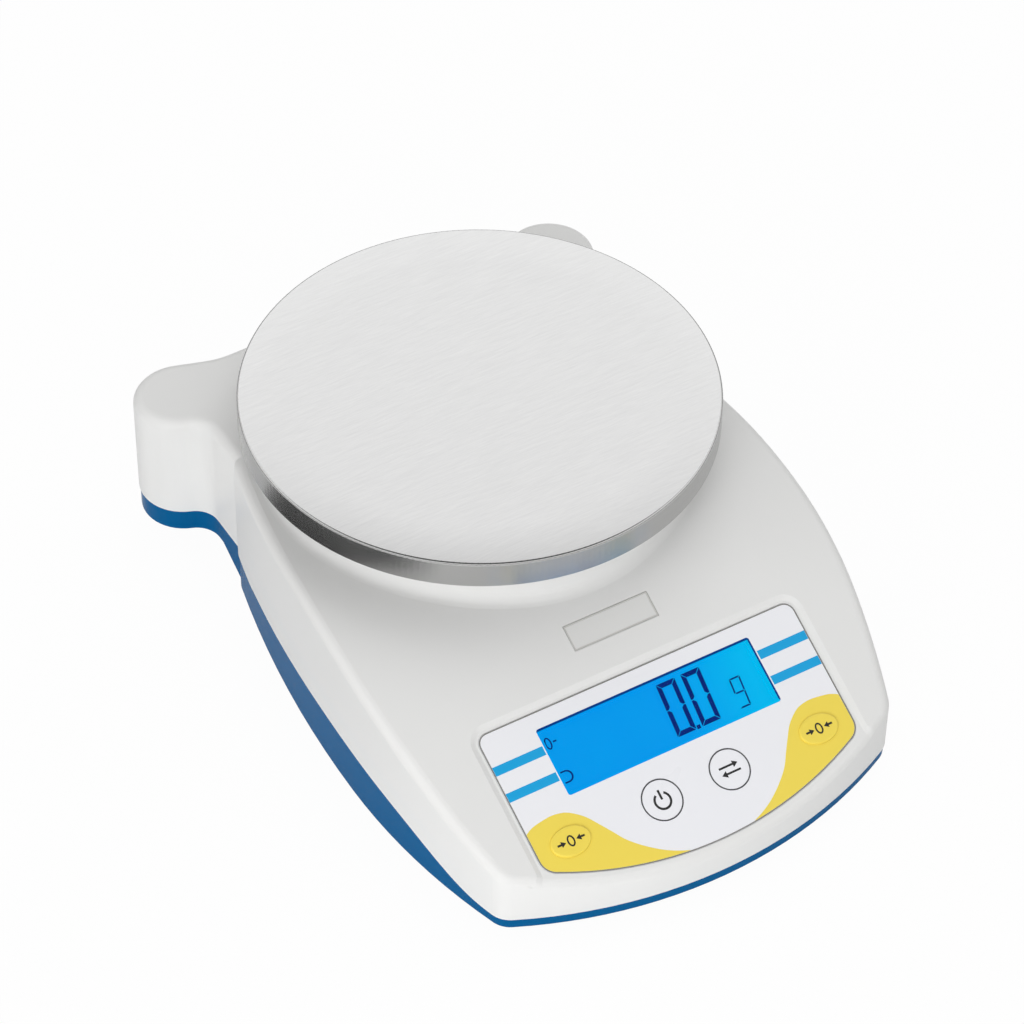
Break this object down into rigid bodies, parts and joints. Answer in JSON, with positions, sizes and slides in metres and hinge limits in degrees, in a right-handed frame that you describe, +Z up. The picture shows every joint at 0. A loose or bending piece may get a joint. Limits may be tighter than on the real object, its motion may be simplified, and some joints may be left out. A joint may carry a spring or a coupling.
{
  "type": "portable balance",
  "caption": "Electronic bench balance: round steel pan on a white housing with a blue base, sloping key panel and display, load cell inside.",
  "frame": {"origin": "on the bench under the middle of the balance's outline", "axes": "+Z up, -Y towards the user and the key panel, +X to the user's right"},
  "size_m": [0.1612, 0.225, 0.081],
  "materials": {
    "housing_white": "fine moulded texture",
    "base_blue": "gloss moulding",
    "pan_steel": "brushed",
    "overlay_film": "printed film",
    "window_clear": "clear polished sheet",
    "display_blue": "polished display cell",
    "guide_white": "diffusing",
    "strip_rubber": "layered conductive strip",
    "board_green": "solder mask",
    "chip_black": "moulded",
    "tin_plate": "tinned",
    "zinc_steel": "zinc plated",
    "cell_aluminium": "machined",
    "cast_aluminium": "die cast",
    "sealant_white": "cured sealant",
    "inner_plastic": "moulded",
    "plug_ivory": "moulded",
    "foot_rubber": "matt",
    "lead_grey": "extruded sheath",
    "battery_wrap": "shrink sleeve",
    "pin_brass": "nickel plated",
    "label_silver": "satin plate"
  },
  "bodies": {
    "base": {"upper_housing": "housing_white", "lower_housing": "base_blue", "housing_screws": "zinc_steel", "rubber_feet": "foot_rubber", "batteries": "battery_wrap", "battery_contacts": "tin_plate", "load_cell": "cell_aluminium", "gauge_covers": "sealant_white", "cell_spacer": "cell_aluminium", "cell_base_screws": "zinc_steel", "overload_stop_screw": "zinc_steel", "overload_stop_nut": "zinc_steel", "keypad_overlay": "overlay_film", "display_window": "window_clear", "display_glass": "display_blue", "light_guide": "guide_white", "contact_strip": "strip_rubber", "display_frame": "inner_plastic", "main_board": "board_green", "board_screws": "zinc_steel", "controller_chips": "chip_black", "signal_shield": "tin_plate", "board_plugs": "plug_ivory", "tact_switches": "chip_black", "label_plate": "label_silver", "power_jack": "chip_black", "jack_pin": "pin_brass", "cell_lead": "lead_grey", "battery_lead": "lead_grey", "jack_lead": "lead_grey"},
    "platform": {"load_bracket": "cast_aluminium", "bracket_screws": "zinc_steel", "pan_support": "inner_plastic", "support_screws": "zinc_steel", "pan_pads": "foot_rubber"},
    "pan": {"weighing_pan": "pan_steel"},
    "battery_door": {"battery_cover": "base_blue"},
    "key_tare_left": {"key_tare_left": "overlay_film", "switch_button_tare_left": "inner_plastic"},
    "key_power": {"key_power": "overlay_film", "switch_button_power": "inner_plastic"},
    "key_unit": {"key_unit": "overlay_film", "switch_button_unit": "inner_plastic"},
    "key_tare_right": {"key_tare_right": "overlay_film", "switch_button_tare_right": "inner_plastic"}
  },
  "joints": [
    {"name": "weighing_travel", "type": "slide", "parent": "base", "child": "platform", "axis": [0, 0, 1], "range_m": [-0.0004, 0], "stiffness_N_per_m": 20000, "springref_m": 0.0003, "deforming": ["load_cell"]},
    {"name": "pan_lift", "type": "slide", "parent": "platform", "child": "pan", "axis": [0, 0, 1], "range_m": [0, 0.03]},
    {"name": "battery_cover_slide", "type": "slide", "parent": "base", "child": "battery_door", "axis": [0, -1, 0], "range_m": [0, 0.008]},
    {"name": "press_tare_left", "type": "slide", "parent": "base", "child": "key_tare_left", "axis": [0, 0.4472, -0.8944], "range_m": [0, 0.0005], "stiffness_N_per_m": 2000},
    {"name": "press_power", "type": "slide", "parent": "base", "child": "key_power", "axis": [0, 0.4472, -0.8944], "range_m": [0, 0.0005], "stiffness_N_per_m": 2000},
    {"name": "press_unit", "type": "slide", "parent": "base", "child": "key_unit", "axis": [0, 0.4472, -0.8944], "range_m": [0, 0.0005], "stiffness_N_per_m": 2000},
    {"name": "press_tare_right", "type": "slide", "parent": "base", "child": "key_tare_right", "axis": [0, 0.4472, -0.8944], "range_m": [0, 0.0005], "stiffness_N_per_m": 2000}
  ]
}
